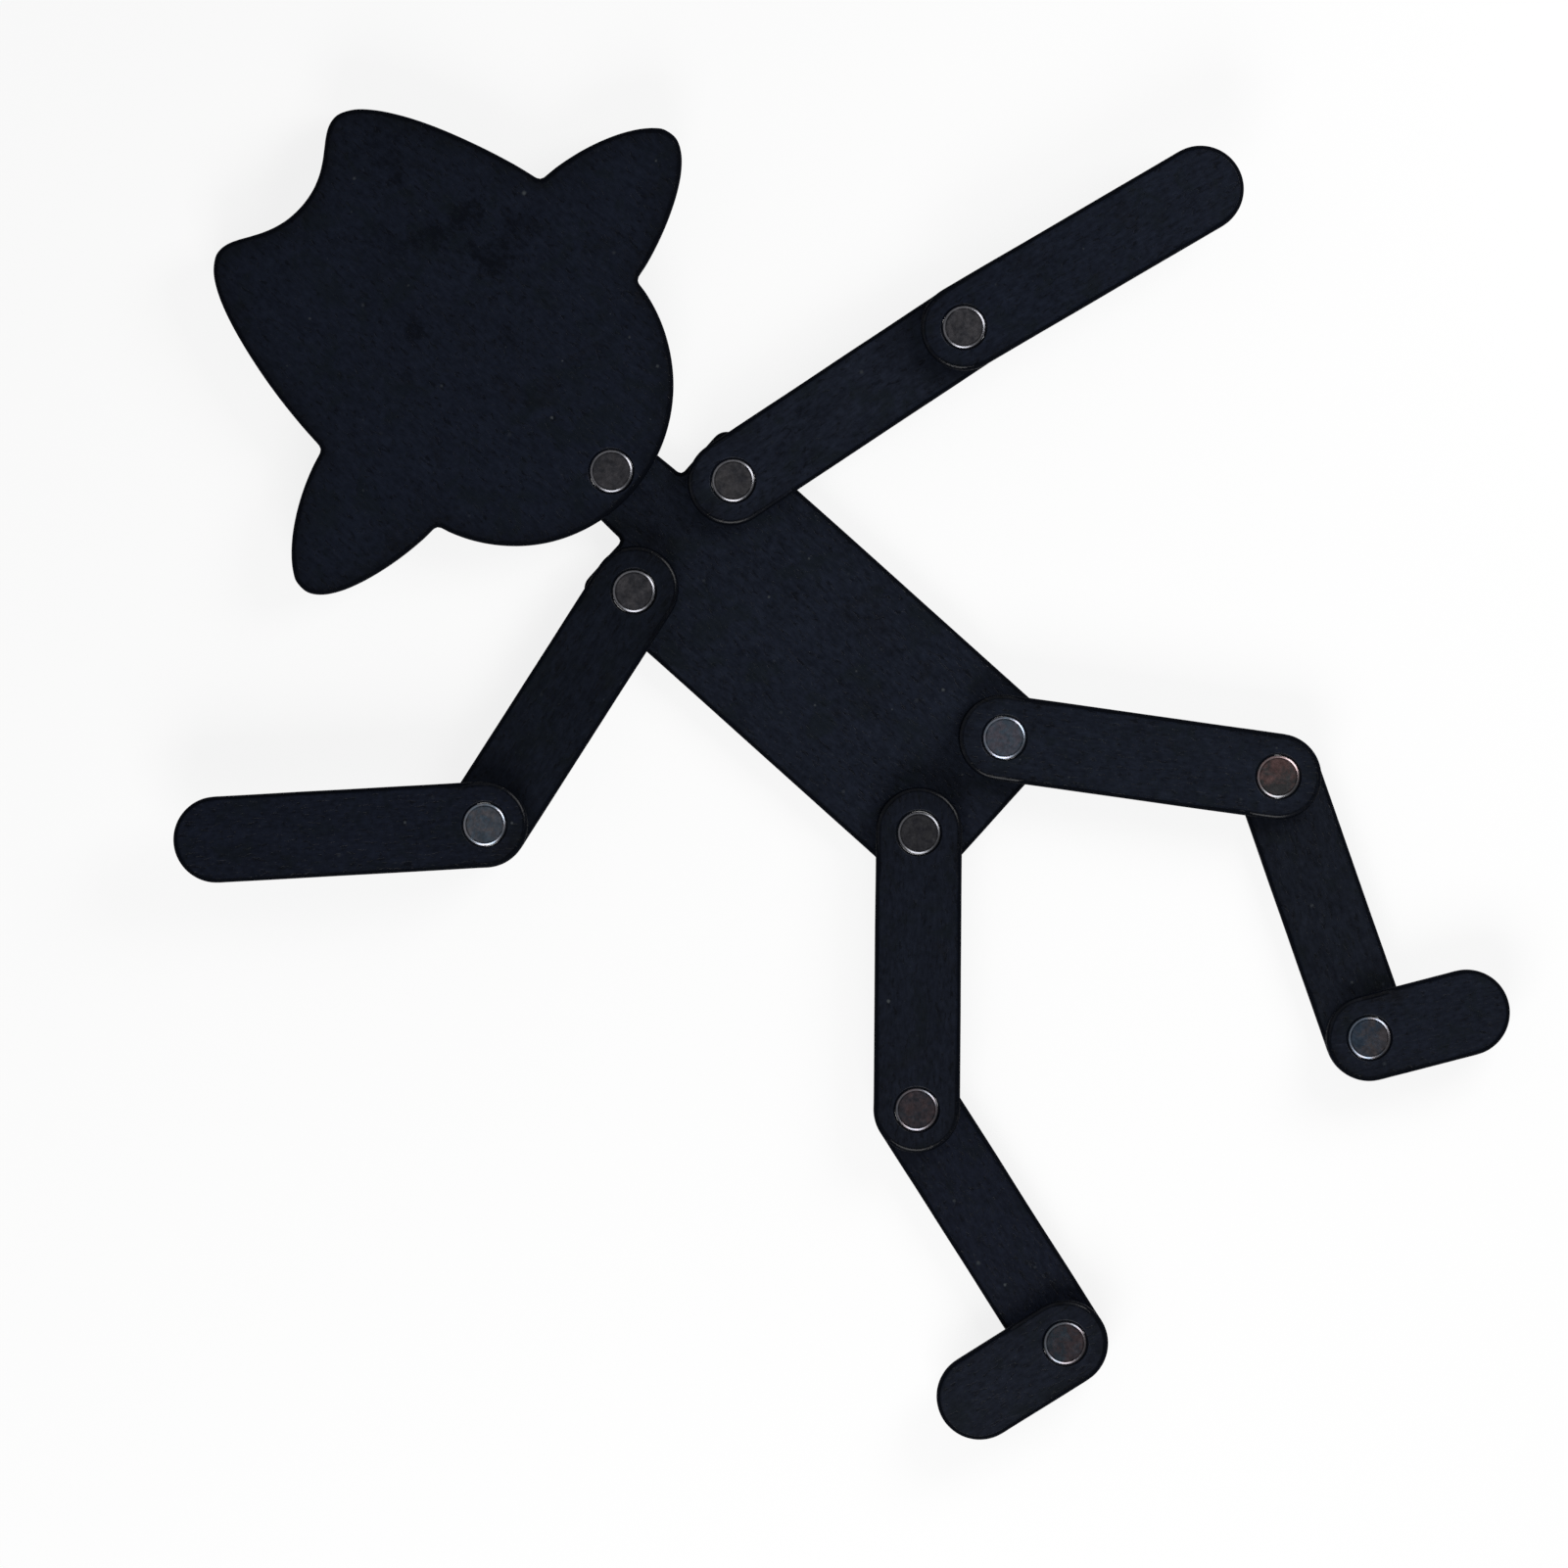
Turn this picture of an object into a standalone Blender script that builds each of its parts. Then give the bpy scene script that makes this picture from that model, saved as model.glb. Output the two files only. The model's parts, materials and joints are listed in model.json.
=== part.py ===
# Jointed wooden stick man: flat boards that turn on pairs of disc magnets.
# The figure lies on its back with +Y up its body and +Z towards the viewer.
# Left and right are the figure's own, so its left side is at +X.
# The origin is on the torso's back face, midway between the shoulders and the hips.

import bpy
import bmesh
from math import cos, pi, radians, sin
from mathutils import Vector
from mathutils.geometry import interpolate_bezier

MM = 0.001
FIGURE = "wooden_stick_man"

# Boards lie in layers on each other, with a small gap between two layers.
BOARD = 4.0 * MM
LAYER_GAP = 0.3 * MM
LAYER = BOARD + LAYER_GAP
TORSO_LAYER = 0
HEAD_LAYER = 1
EDGE_ROUND = 0.6 * MM
EDGE_STEPS = 2
CORNER_ANGLE = radians(40)
FLAT_ANGLE = radians(1)
WELD_DISTANCE = 0.001 * MM

# Magnets fill through bores and sit a hair below both faces of their board.
MAGNET_DIAMETER = 6.0 * MM
MAGNET_RECESS = 0.05 * MM
MAGNET_ROUND = 0.4 * MM
GLUE_GAP = 0.25 * MM
ROUND_SIDES = 24
BORE_DEPTH = 4 * LAYER

# Limbs are strips with round ends, and a pitch is the distance between two magnets.
# The strips that hang on the torso reach a little further over it than their round end would.
STRIP_WIDTH = 12.0 * MM
ROOT_LEAD = 0.4 * MM
LIMB_PITCH = 38.5 * MM
FOOT_PITCH = 14.0 * MM
HAND_PITCH = {"left": 38.1 * MM, "right": 37.3 * MM}
END_STEPS = 16

# Torso, a board with round corners and a neck that narrows towards its round end.
TORSO_WIDTH = 30.8 * MM
TORSO_CORNER = 2.2 * MM
CORNER_STEPS = 5
SHOULDER_SPAN = 20.7 * MM
HIP_SPAN = 17.8 * MM
SHOULDER_TO_HIP = 52.0 * MM
SHOULDER_INSET = 6.0 * MM
HIP_INSET = 6.5 * MM
NECK_RISE = 7.5 * MM
NECK_ROOT = 12.4 * MM
NECK_TAPER = radians(2.8)

SHOULDER_ROW = SHOULDER_TO_HIP / 2
HIP_ROW = -SHOULDER_TO_HIP / 2
TORSO_TOP = SHOULDER_ROW + SHOULDER_INSET
TORSO_BOTTOM = HIP_ROW - HIP_INSET
NECK_ROW = TORSO_TOP + NECK_RISE

# Head, a round face under a hat with a wide brim and a pinched crown.
# Points are on its left half, measured from the neck magnet, with headings in degrees.
FACE_RADIUS = 22.4 * MM
FACE_RISE = 18.2 * MM
CHEEK_ANGLE = radians(-10.6)
FACE_STEPS = 14
BRIM_TIP = Vector((40.6, 24.2)) * MM
BRIM_TIP_HEADING = 111.0
BRIM_TIP_UNDER = 5.9 * MM
BRIM_TIP_OVER = 3.3 * MM
BRIM_UNDER_HEADING = 3.3
BRIM_UNDER_REACH = 7.0 * MM
BRIM_OVER_HEADING = -9.5
BRIM_OVER_REACH = 8.6 * MM
CROWN_FOOT = Vector((24.1, 33.2)) * MM
CROWN_FOOT_HEADING = 97.0
CROWN_FOOT_REACH = 10.2 * MM
PEAK = Vector((13.3, 61.1)) * MM
PEAK_HEADING = 159.0
PEAK_SIDE = 5.5 * MM
PEAK_TOP = 4.1 * MM
VALLEY = Vector((0.0, 56.7)) * MM
VALLEY_REACH = 7.4 * MM
CURVE_STEPS = 9

# The sawn outline leans a little to its left, where its peak is lower than the other one,
# and its bore is off the middle of the chin.
CROWN_LEAN = 0.016
CROWN_DIP = 0.031
FACE_OFFSET = 0.6 * MM

# Pose of the photographed figure: each joint's turn from its parent board, in degrees.
HEAD_TILT = 2.8
POSE = {
    "left": {"shoulder": -14.6, "elbow": -3.2, "hip": -56.2, "knee": -62.7, "ankle": 85.3},
    "right": {"shoulder": -170.7, "elbow": -54.2, "hip": -138.6, "knee": 32.9, "ankle": -90.4},
}
SIDE_SIGN = {"left": 1, "right": -1}

# Limb boards from the body outwards: name, joint at the near end, layer.
ARM = (("upper_arm", "shoulder", 1), ("forearm", "elbow", 2))
LEG = (("thigh", "hip", 1), ("shin", "knee", 0), ("foot", "ankle", 1))

# Finishes in linear colour.
STAINED_WOOD = {"colour": (0.0072, 0.0090, 0.0140, 1.0), "roughness": 0.62, "metallic": 0.0}
NICKEL = {"colour": (0.58, 0.56, 0.54, 1.0), "roughness": 0.22, "metallic": 1.0}


def new_collection(name):
    old = bpy.data.collections.get(name)
    if old:
        bpy.data.collections.remove(old)
    collection = bpy.data.collections.new(name)
    bpy.context.scene.collection.children.link(collection)
    return collection


def apply_finish(piece, finish):
    material = bpy.data.materials.new(piece.name)
    material.use_nodes = True
    shader = material.node_tree.nodes["Principled BSDF"]
    shader.inputs["Base Color"].default_value = finish["colour"]
    shader.inputs["Roughness"].default_value = finish["roughness"]
    shader.inputs["Metallic"].default_value = finish["metallic"]
    if not piece.data.materials:
        piece.data.materials.append(None)
    piece.material_slots[0].link = "OBJECT"
    piece.material_slots[0].material = material


def heading(degrees):
    return Vector((cos(radians(degrees)), sin(radians(degrees))))


def arc(centre, radius, start, stop, steps):
    points = []
    for step in range(steps + 1):
        angle = start + (stop - start) * step / steps
        points.append(Vector((centre[0] + radius * cos(angle), centre[1] + radius * sin(angle))))
    return points


def strip_outline(pitch, lead):
    radius = STRIP_WIDTH / 2
    near_end = arc((-lead, 0), radius, pi / 2, 3 * pi / 2, END_STEPS)
    far_end = arc((pitch, 0), radius, -pi / 2, pi / 2, END_STEPS)
    return near_end + far_end


def torso_outline():
    inset = TORSO_WIDTH / 2 - TORSO_CORNER
    low = TORSO_BOTTOM + TORSO_CORNER
    high = TORSO_TOP - TORSO_CORNER
    root = NECK_ROOT / 2
    neck_radius = root * cos(NECK_TAPER) - NECK_RISE * sin(NECK_TAPER)
    outline = arc((inset, low), TORSO_CORNER, -pi / 2, 0, CORNER_STEPS)
    outline += arc((inset, high), TORSO_CORNER, 0, pi / 2, CORNER_STEPS)
    outline.append(Vector((root, TORSO_TOP)))
    outline += arc((0, NECK_ROW), neck_radius, NECK_TAPER, pi - NECK_TAPER, END_STEPS)
    outline.append(Vector((-root, TORSO_TOP)))
    outline += arc((-inset, high), TORSO_CORNER, pi / 2, pi, CORNER_STEPS)
    outline += arc((-inset, low), TORSO_CORNER, pi, 3 * pi / 2, CORNER_STEPS)
    return outline


def head_outline():
    half = arc((0, FACE_RISE), FACE_RADIUS, -pi / 2, CHEEK_ANGLE, FACE_STEPS)
    cheek = half[-1]
    tip_way = heading(BRIM_TIP_HEADING)
    peak_way = heading(PEAK_HEADING)
    brim_start = cheek + BRIM_UNDER_REACH * heading(BRIM_UNDER_HEADING)
    brim_end = CROWN_FOOT + BRIM_OVER_REACH * heading(BRIM_OVER_HEADING)
    crown_start = CROWN_FOOT + CROWN_FOOT_REACH * heading(CROWN_FOOT_HEADING)
    crown_end = VALLEY + Vector((VALLEY_REACH, 0))
    curves = (
        (cheek, brim_start, BRIM_TIP - BRIM_TIP_UNDER * tip_way, BRIM_TIP),
        (BRIM_TIP, BRIM_TIP + BRIM_TIP_OVER * tip_way, brim_end, CROWN_FOOT),
        (CROWN_FOOT, crown_start, PEAK - PEAK_SIDE * peak_way, PEAK),
        (PEAK, PEAK + PEAK_TOP * peak_way, crown_end, VALLEY),
    )
    for curve in curves:
        half += interpolate_bezier(*curve, CURVE_STEPS)[1:]
    other_half = [Vector((-point.x, point.y)) for point in reversed(half[1:-1])]
    outline = []
    for point in half + other_half:
        up_crown = max(0, point.y - CROWN_FOOT.y) / (PEAK.y - CROWN_FOOT.y)
        lean = CROWN_LEAN * point.y + FACE_OFFSET
        dip = CROWN_DIP * point.x * up_crown
        outline.append(point + Vector((lean, -dip)))
    return outline


def cut_board(name, outline, layer, pivot, bores, parts):
    curve = bpy.data.curves.new(name, "CURVE")
    curve.dimensions = "2D"
    curve.fill_mode = "BOTH"
    curve.extrude = BOARD / 2
    spline = curve.splines.new("POLY")
    spline.points.add(len(outline) - 1)
    for point, place in zip(spline.points, outline):
        point.co = (place.x, place.y, 0, 1)
    spline.use_cyclic_u = True
    blank = bpy.data.objects.new(name + "_blank", curve)
    parts.objects.link(blank)
    mesh = bpy.data.meshes.new_from_object(blank.evaluated_get(bpy.context.evaluated_depsgraph_get()))
    bpy.data.objects.remove(blank)
    bpy.data.curves.remove(curve)

    solid = bmesh.new()
    solid.from_mesh(mesh)
    bmesh.ops.remove_doubles(solid, verts=solid.verts, dist=WELD_DISTANCE)
    bmesh.ops.dissolve_limit(solid, angle_limit=FLAT_ANGLE, verts=solid.verts, edges=solid.edges)
    solid.to_mesh(mesh)
    solid.free()
    mesh.name = name
    mesh.shade_smooth()
    mesh.set_sharp_from_angle(angle=CORNER_ANGLE)

    board = bpy.data.objects.new(name, mesh)
    parts.objects.link(board)
    board.parent = pivot
    board.location.z = layer * LAYER + BOARD / 2
    rounding = board.modifiers.new("eased_edges", "BEVEL")
    rounding.width = EDGE_ROUND
    rounding.segments = EDGE_STEPS
    rounding.limit_method = "ANGLE"
    rounding.angle_limit = CORNER_ANGLE
    for bore in bores:
        cut = board.modifiers.new(bore.name, "BOOLEAN")
        cut.operation = "DIFFERENCE"
        cut.solver = "EXACT"
        cut.object = bore
    apply_finish(board, STAINED_WOOD)
    return board


def add_pivot(name, parent, x, y, degrees, parts):
    pivot = bpy.data.objects.new(name + "_pivot", None)
    pivot.empty_display_size = STRIP_WIDTH / 2
    parts.objects.link(pivot)
    pivot.parent = parent
    pivot.location = (x, y, 0)
    pivot.rotation_euler.z = radians(degrees)
    return pivot


def take_from_scene(piece, collection):
    for owner in list(piece.users_collection):
        owner.objects.unlink(piece)
    collection.objects.link(piece)


def add_bore(name, pivot, cutters):
    bpy.ops.mesh.primitive_cylinder_add(
        vertices=ROUND_SIDES, radius=MAGNET_DIAMETER / 2 + GLUE_GAP, depth=BORE_DEPTH
    )
    bore = bpy.context.object
    bore.name = name + "_bore"
    take_from_scene(bore, cutters)
    bore.parent = pivot
    bore.location.z = BORE_DEPTH / 2 - BOARD / 2
    bore.hide_render = True
    bore.display_type = "WIRE"
    return bore


def magnet_blank():
    bpy.ops.mesh.primitive_cylinder_add(
        vertices=ROUND_SIDES, radius=MAGNET_DIAMETER / 2, depth=BOARD - 2 * MAGNET_RECESS
    )
    blank = bpy.context.object
    mesh = blank.data
    mesh.name = "disc_magnet"
    mesh.shade_smooth()
    mesh.set_sharp_from_angle(angle=CORNER_ANGLE)
    bpy.data.objects.remove(blank)
    return mesh


def add_magnet(name, mesh, board, x, y, parts):
    magnet = bpy.data.objects.new(name + "_magnet", mesh)
    parts.objects.link(magnet)
    magnet.parent = board
    magnet.location = (x, y, 0)
    rounding = magnet.modifiers.new("round_rim", "BEVEL")
    rounding.width = MAGNET_ROUND
    rounding.segments = EDGE_STEPS
    rounding.limit_method = "ANGLE"
    rounding.angle_limit = CORNER_ANGLE
    apply_finish(magnet, NICKEL)


def build_limb(side, limb, root_x, root_y, magnet, parts, cutters):
    parent = None
    x, y = root_x, root_y
    pitches = {"forearm": HAND_PITCH[side], "foot": FOOT_PITCH}
    pivots = []
    bores = []
    for _, joint, _ in limb:
        pivot = add_pivot(f"{side}_{joint}", parent, x, y, POSE[side][joint], parts)
        pivots.append(pivot)
        bores.append(add_bore(f"{side}_{joint}", pivot, cutters))
        parent = pivot
        x, y = LIMB_PITCH, 0
    for index, (piece, joint, layer) in enumerate(limb):
        name = f"{side}_{piece}"
        pitch = pitches.get(piece, LIMB_PITCH)
        outline = strip_outline(pitch, 0 if index else ROOT_LEAD)
        board = cut_board(name, outline, layer, pivots[index], bores[index:index + 2], parts)
        add_magnet(f"{name}_{joint}", magnet, board, 0, 0, parts)
        if index + 1 < len(limb):
            add_magnet(f"{name}_{limb[index + 1][1]}", magnet, board, pitch, 0, parts)
    return bores[0]


def build_figure():
    for old in list(bpy.data.objects):
        bpy.data.objects.remove(old)
    parts = new_collection(FIGURE)
    cutters = new_collection(FIGURE + "_cutters")
    magnet = magnet_blank()

    neck = add_pivot("neck", None, 0, NECK_ROW, HEAD_TILT, parts)
    neck_bore = add_bore("neck", neck, cutters)
    torso_bores = [neck_bore]
    torso_magnets = [("neck", 0, NECK_ROW)]
    for side, sign in SIDE_SIGN.items():
        for limb, span, row in ((ARM, SHOULDER_SPAN, SHOULDER_ROW), (LEG, HIP_SPAN, HIP_ROW)):
            root_x = sign * span / 2
            torso_bores.append(build_limb(side, limb, root_x, row, magnet, parts, cutters))
            torso_magnets.append((f"{side}_{limb[0][1]}", root_x, row))

    torso = cut_board("torso", torso_outline(), TORSO_LAYER, None, torso_bores, parts)
    for joint, x, y in torso_magnets:
        add_magnet(f"torso_{joint}", magnet, torso, x, y, parts)
    head = cut_board("head", head_outline(), HEAD_LAYER, neck, [neck_bore], parts)
    add_magnet("head_neck", magnet, head, 0, 0, parts)


build_figure()
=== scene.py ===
import bpy
import bmesh
import json
import numpy as np
from math import cos, pi, radians, sin, sqrt, tan
from mathutils import Euler, Matrix, Vector, geometry, noise

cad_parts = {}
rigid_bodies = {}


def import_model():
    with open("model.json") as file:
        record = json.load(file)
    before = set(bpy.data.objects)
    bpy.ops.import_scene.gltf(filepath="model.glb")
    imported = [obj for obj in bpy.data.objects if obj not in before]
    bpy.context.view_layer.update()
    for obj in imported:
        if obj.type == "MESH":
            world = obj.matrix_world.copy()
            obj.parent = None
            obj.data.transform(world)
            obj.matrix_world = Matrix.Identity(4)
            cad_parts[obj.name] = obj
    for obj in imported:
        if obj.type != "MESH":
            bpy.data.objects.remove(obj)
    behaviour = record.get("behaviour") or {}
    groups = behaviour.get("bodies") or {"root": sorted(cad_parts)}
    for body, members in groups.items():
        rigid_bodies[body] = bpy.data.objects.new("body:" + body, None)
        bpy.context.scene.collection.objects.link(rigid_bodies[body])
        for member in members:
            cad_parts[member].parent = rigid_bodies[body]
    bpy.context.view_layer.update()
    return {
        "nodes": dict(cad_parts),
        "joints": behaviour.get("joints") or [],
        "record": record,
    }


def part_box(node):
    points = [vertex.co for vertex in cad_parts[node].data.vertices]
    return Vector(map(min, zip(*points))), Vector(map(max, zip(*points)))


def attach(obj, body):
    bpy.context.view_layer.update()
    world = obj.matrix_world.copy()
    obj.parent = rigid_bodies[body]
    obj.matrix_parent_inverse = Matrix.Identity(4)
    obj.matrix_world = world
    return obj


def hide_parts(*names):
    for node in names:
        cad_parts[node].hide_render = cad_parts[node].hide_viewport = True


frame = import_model()
mm = 0.001
weld = 0.002 * mm  # corners closer than this are one corner
boards = sorted(node for node in frame["nodes"] if not node.endswith("_magnet"))
discs = sorted(node for node in frame["nodes"] if node.endswith("_magnet"))
bodyOf = {node: body for body, nodes in frame["record"]["behaviour"]["bodies"].items() for node in nodes}
boardOf = {bodyOf[node]: node for node in boards}
jointPlace = {joint["child"]: Vector(joint["pos_m"]).xy for joint in frame["joints"]}
turnsOver = {}  # the joints at which a board lies on a neighbour
for joint in frame["joints"]:
    pair = (boardOf[joint["parent"]], boardOf[joint["child"]])
    under, over = sorted(pair, key=lambda node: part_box(node)[1].z)
    turnsOver.setdefault(over, []).append((Vector(joint["pos_m"]), under))


# Small helpers for shader trees

def addNode(tree, kind, at=(0, 0), **settings):
    node = tree.nodes.new(kind)
    node.location = at
    for name, value in settings.items():
        setattr(node, name, value)
    return node


def feed(tree, socket, value):  # a link from an output, or a fixed value
    if isinstance(value, bpy.types.NodeSocket):
        tree.links.new(value, socket)
    else:
        socket.default_value = value


def calc(tree, operation, first, second=None, third=None, clamp=False):
    node = addNode(tree, "ShaderNodeMath", operation=operation, use_clamp=clamp)
    for socket, value in zip(node.inputs, (first, second, third)):
        if value is not None:
            feed(tree, socket, value)
    return node.outputs["Value"]


def calcVector(tree, operation, first, second=None, scale=None):
    node = addNode(tree, "ShaderNodeVectorMath", operation=operation)
    feed(tree, node.inputs[0], first)
    if second is not None:
        feed(tree, node.inputs[1], second)
    if scale is not None:
        feed(tree, node.inputs["Scale"], scale)
    return node.outputs["Value" if operation in ("LENGTH", "DISTANCE", "DOT_PRODUCT") else "Vector"]


def splitVector(tree, vector):
    node = addNode(tree, "ShaderNodeSeparateXYZ")
    feed(tree, node.inputs["Vector"], vector)
    return node.outputs


def remap(tree, value, low, high, toLow=0.0, toHigh=1.0, smooth=True):
    node = addNode(tree, "ShaderNodeMapRange", clamp=True)
    node.interpolation_type = "SMOOTHSTEP" if smooth else "LINEAR"
    for name, amount in (("Value", value), ("From Min", low), ("From Max", high)):
        feed(tree, node.inputs[name], amount)
    node.inputs["To Min"].default_value = toLow
    node.inputs["To Max"].default_value = toHigh
    return node.outputs["Result"]


def mixColour(tree, share, first, second, kind="MIX"):
    node = addNode(tree, "ShaderNodeMix", data_type="RGBA", blend_type=kind)
    feed(tree, node.inputs["Factor"], share)
    feed(tree, node.inputs["A"], first)
    feed(tree, node.inputs["B"], second)
    return node.outputs["Result"]


def mottle(tree, position, scale, detail, roughness, distortion=0.0):
    node = addNode(tree, "ShaderNodeTexNoise", noise_dimensions="3D")
    feed(tree, node.inputs["Vector"], position)
    feed(tree, node.inputs["Scale"], scale)
    node.inputs["Detail"].default_value = detail
    node.inputs["Roughness"].default_value = roughness
    node.inputs["Distortion"].default_value = distortion
    return node.outputs["Fac"]


def newGroup(name, takes, gives):
    group = bpy.data.node_groups.new(name, "ShaderNodeTree")
    for label, kind, value in takes:
        socket = group.interface.new_socket(label, in_out="INPUT", socket_type="NodeSocket" + kind)
        socket.default_value = value
    for label, kind in gives:
        group.interface.new_socket(label, in_out="OUTPUT", socket_type="NodeSocket" + kind)
    source = addNode(group, "NodeGroupInput", (-900, 0))
    sink = addNode(group, "NodeGroupOutput", (900, 0))
    return group, source.outputs, sink.inputs


def useGroup(tree, group, **values):
    node = addNode(tree, "ShaderNodeGroup", node_tree=group)
    for label, value in values.items():
        feed(tree, node.inputs[label], value)
    return node.outputs


def newFinish(name):  # a material, its tree and shader, and the place on the piece in millimetres
    material = bpy.data.materials.new(name)
    material.use_nodes = True
    tree = material.node_tree
    local = addNode(tree, "ShaderNodeTexCoord").outputs["Object"]
    position = calcVector(tree, "SCALE", local, scale=1 / mm)
    return material, tree, tree.nodes["Principled BSDF"], position


def addRelief(tree, shader, height, distance):
    bump = addNode(tree, "ShaderNodeBump")
    bump.inputs["Distance"].default_value = distance
    feed(tree, bump.inputs["Height"], height)
    feed(tree, shader.inputs["Normal"], bump.outputs["Normal"])


# Effects that several finishes share, all measured in millimetres on the piece.
# A noise is given as scale, detail, roughness and, where it has one, distortion.

grainLook = {
    "bands": (0.42, 4.0, 0.55, 0.5),
    "fibres": (2.2, 4.0, 0.6),
    "pores": (2.1, 2.0, 0.5, 0.8),
    "poreEdge": (0.56, 0.68),  # levels of that noise between which a pore begins
    "poreSqueeze": 0.38,       # pores are shorter than fibres
}


def buildBoardGrain():
    group, given, out = newGroup(
        "boardGrain",
        [("Position", "Vector", (0, 0, 0)), ("Shift", "Vector", (0, 0, 0)), ("Stretch", "Float", 3.0)],
        [("Bands", "Float"), ("Fibres", "Float"), ("Pores", "Float")],
    )
    place = splitVector(group, calcVector(group, "ADD", given["Position"], given["Shift"]))

    def streaks(length):  # the length is squeezed, so noise becomes streaks
        node = addNode(group, "ShaderNodeCombineXYZ")
        for axis, value in (("X", length), ("Y", place["Y"]), ("Z", place["Z"])):
            feed(group, node.inputs[axis], value)
        return node.outputs["Vector"]

    drawn = streaks(calc(group, "DIVIDE", place["X"], given["Stretch"]))
    short = streaks(calc(group, "MULTIPLY", place["X"], grainLook["poreSqueeze"]))
    pores = mottle(group, short, *grainLook["pores"])
    feed(group, out["Bands"], mottle(group, drawn, *grainLook["bands"]))
    feed(group, out["Fibres"], mottle(group, drawn, *grainLook["fibres"]))
    feed(group, out["Pores"], remap(group, pores, *grainLook["poreEdge"]))
    return group


patchLook = {
    "cloud": (5.0, 0.62, 0.9),  # its scale comes from the size of the patches
    "bare": 0.78,               # its level where a patch begins with no cover
    "coverGain": 0.4,           # how far cover lowers that level
    "edge": 0.14,
}


def buildStainPatches():
    group, given, out = newGroup(
        "stainPatches",
        [("Position", "Vector", (0, 0, 0)), ("Shift", "Vector", (0, 0, 0)), ("Size", "Float", 8.0),
         ("Cover", "Float", 0.5)],
        [("Mask", "Float")],
    )
    place = calcVector(group, "ADD", given["Position"], given["Shift"])
    cloud = mottle(group, place, calc(group, "DIVIDE", 1.0, given["Size"]), *patchLook["cloud"])
    covered = calc(group, "MULTIPLY", given["Cover"], patchLook["coverGain"])
    start = calc(group, "SUBTRACT", patchLook["bare"], covered)
    feed(group, out["Mask"], remap(group, cloud, start, calc(group, "ADD", start, patchLook["edge"])))
    return group


markLook = {
    "drift": (0.60, 5.0, 0.70),  # noise that tears the outline
    "pull": 3.4,                 # how far it does, in radii
    "fade": 1.15,                # where the mark ends, in radii
}


def buildSoftMark():
    group, given, out = newGroup(
        "softMark",
        [("Position", "Vector", (0, 0, 0)), ("Centre", "Vector", (0, 0, 0)), ("Radius", "Float", 2.0),
         ("Ragged", "Float", 1.0)],
        [("Mask", "Float")],
    )
    drift = mottle(group, given["Position"], *markLook["drift"]).node.outputs["Color"]
    centred = calcVector(group, "SUBTRACT", drift, (0.5, 0.5, 0.5))
    pull = calc(group, "MULTIPLY", given["Ragged"], markLook["pull"])
    pull = calc(group, "MULTIPLY", given["Radius"], pull)
    torn = calcVector(group, "ADD", given["Position"], calcVector(group, "SCALE", centred, scale=pull))
    away = calcVector(group, "DISTANCE", torn, given["Centre"])
    share = calc(group, "DIVIDE", away, given["Radius"])
    feed(group, out["Mask"], remap(group, share, markLook["fade"], 0.0))
    return group


dustLook = {
    "leastSize": 0.4,           # share that the smallest speck has
    "torn": (4.0, 3.0, 0.6),    # specks aren't round
    "leastTorn": 0.3,
    "core": 0.2,                # share of a speck that is fully bright
    "drift": (0.07, 2.0, 0.5),  # they lie in loose drifts
    "driftEdge": (0.36, 0.58),
    "showFrom": (0.3, 1.0),     # random numbers at which a speck begins to show, and is bright
}


def buildDustSpecks():
    look = dustLook
    group, given, out = newGroup(
        "dustSpecks",
        [("Position", "Vector", (0, 0, 0)), ("Shift", "Vector", (0, 0, 0)), ("Spacing", "Float", 5.0),
         ("Size", "Float", 0.16)],
        [("Mask", "Float")],
    )
    place = calcVector(group, "ADD", given["Position"], given["Shift"])
    cells = addNode(group, "ShaderNodeTexVoronoi", voronoi_dimensions="2D", feature="F1")
    feed(group, cells.inputs["Vector"], place)
    feed(group, cells.inputs["Scale"], calc(group, "DIVIDE", 1.0, given["Spacing"]))
    reach = calc(group, "DIVIDE", given["Size"], given["Spacing"])
    pick = addNode(group, "ShaderNodeSeparateColor")
    feed(group, pick.inputs["Color"], cells.outputs["Color"])
    size = calc(group, "MULTIPLY", reach, calc(group, "ADD", pick.outputs["Red"], look["leastSize"]))
    torn = calc(group, "ADD", look["leastTorn"], mottle(group, place, *look["torn"]))
    size = calc(group, "MULTIPLY", size, torn)
    dot = remap(group, cells.outputs["Distance"], size, calc(group, "MULTIPLY", size, look["core"]))
    drift = remap(group, mottle(group, place, *look["drift"]), *look["driftEdge"])
    strength = remap(group, pick.outputs["Green"], *look["showFrom"], smooth=False)
    bright = calc(group, "MULTIPLY", drift, strength)
    feed(group, out["Mask"], calc(group, "MULTIPLY", dot, bright))
    return group


wearLook = {
    "rub": (0.35, 3.0, 0.6),  # stretches that hands rubbed
    "rubEdge": (0.46, 0.66),
    "gaps": (2.6, 3.0, 0.6),  # and the gaps in them
    "gapEdge": (0.40, 0.60),
}


def buildHandWear():
    group, given, out = newGroup(
        "handWear",
        [("Position", "Vector", (0, 0, 0)), ("Shift", "Vector", (0, 0, 0)), ("Edge", "Float", 0.0)],
        [("Mask", "Float")],
    )
    place = calcVector(group, "ADD", given["Position"], given["Shift"])
    rub = remap(group, mottle(group, place, *wearLook["rub"]), *wearLook["rubEdge"])
    gaps = remap(group, mottle(group, place, *wearLook["gaps"]), *wearLook["gapEdge"])
    feed(group, out["Mask"], calc(group, "MULTIPLY", given["Edge"], calc(group, "MULTIPLY", rub, gaps)))
    return group


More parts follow.
